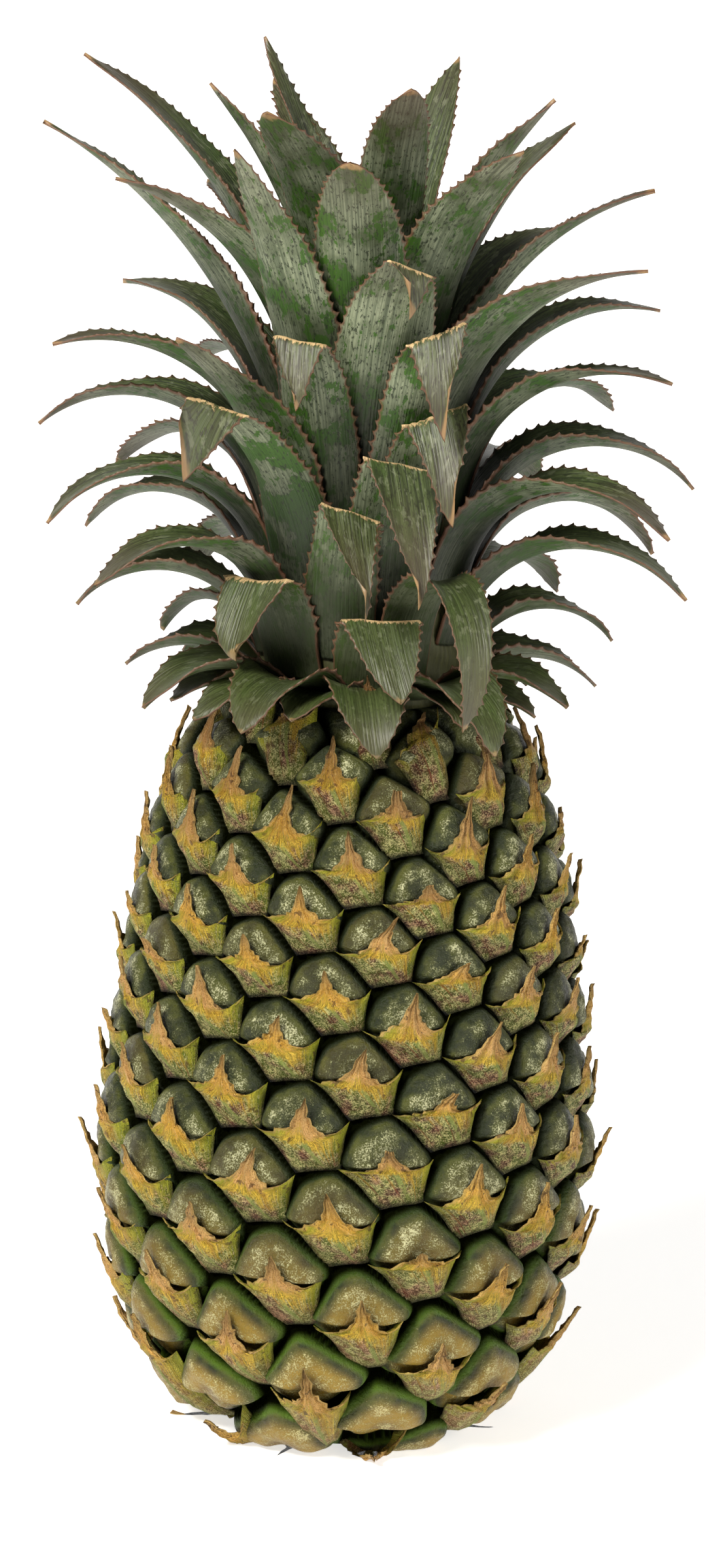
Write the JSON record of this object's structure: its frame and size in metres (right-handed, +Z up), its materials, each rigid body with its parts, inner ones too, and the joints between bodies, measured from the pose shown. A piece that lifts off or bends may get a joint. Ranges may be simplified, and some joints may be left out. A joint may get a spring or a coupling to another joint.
{
  "type": "pineapple",
  "caption": "Whole ripe pineapple with its crown: a barrel of spiralling eyes under pointed bracts, a cut stalk and a tuft of toothed leaves.",
  "frame": {"origin": "centre of the flat base, on the axis, where the cut stalk meets the surface it stands on", "axes": "+Z up along the fruit's axis through the crown, -Y the side that faces the viewer of the picture, +X to that viewer's right"},
  "size_m": [0.1587, 0.1489, 0.3371],
  "materials": {
    "rind": "waxy dark green eyes with grey bloom under dry yellow and tan bracts",
    "cut_stalk": "dry fibrous cut",
    "leaf_base": "pale matt leaf bases",
    "leaf": "grey-green bloom over green, red-brown toothed edges"
  },
  "bodies": {
    "root": {"fruit": "rind", "stalk": "cut_stalk", "crown_stem": "leaf_base", "leaf_01": "leaf", "leaf_02": "leaf", "leaf_03": "leaf", "leaf_04": "leaf", "leaf_05": "leaf", "leaf_06": "leaf", "leaf_07": "leaf", "leaf_08": "leaf", "leaf_09": "leaf", "leaf_10": "leaf", "leaf_11": "leaf", "leaf_12": "leaf", "leaf_13": "leaf", "leaf_14": "leaf", "leaf_15": "leaf", "leaf_16": "leaf", "leaf_17": "leaf", "leaf_18": "leaf", "leaf_19": "leaf", "leaf_20": "leaf", "leaf_21": "leaf", "leaf_22": "leaf", "leaf_23": "leaf", "leaf_24": "leaf", "leaf_25": "leaf", "leaf_26": "leaf", "leaf_27": "leaf", "leaf_28": "leaf", "leaf_29": "leaf", "leaf_30": "leaf", "leaf_31": "leaf", "leaf_32": "leaf", "leaf_33": "leaf", "leaf_34": "leaf", "leaf_35": "leaf", "leaf_36": "leaf", "leaf_37": "leaf", "leaf_38": "leaf", "leaf_39": "leaf", "leaf_40": "leaf", "leaf_41": "leaf", "leaf_42": "leaf", "leaf_43": "leaf", "leaf_44": "leaf", "leaf_45": "leaf", "leaf_46": "leaf", "leaf_47": "leaf", "leaf_48": "leaf", "leaf_49": "leaf", "leaf_50": "leaf", "leaf_51": "leaf", "leaf_52": "leaf", "leaf_53": "leaf", "leaf_54": "leaf", "leaf_55": "leaf", "leaf_56": "leaf", "leaf_57": "leaf"}
  },
  "joints": []
}
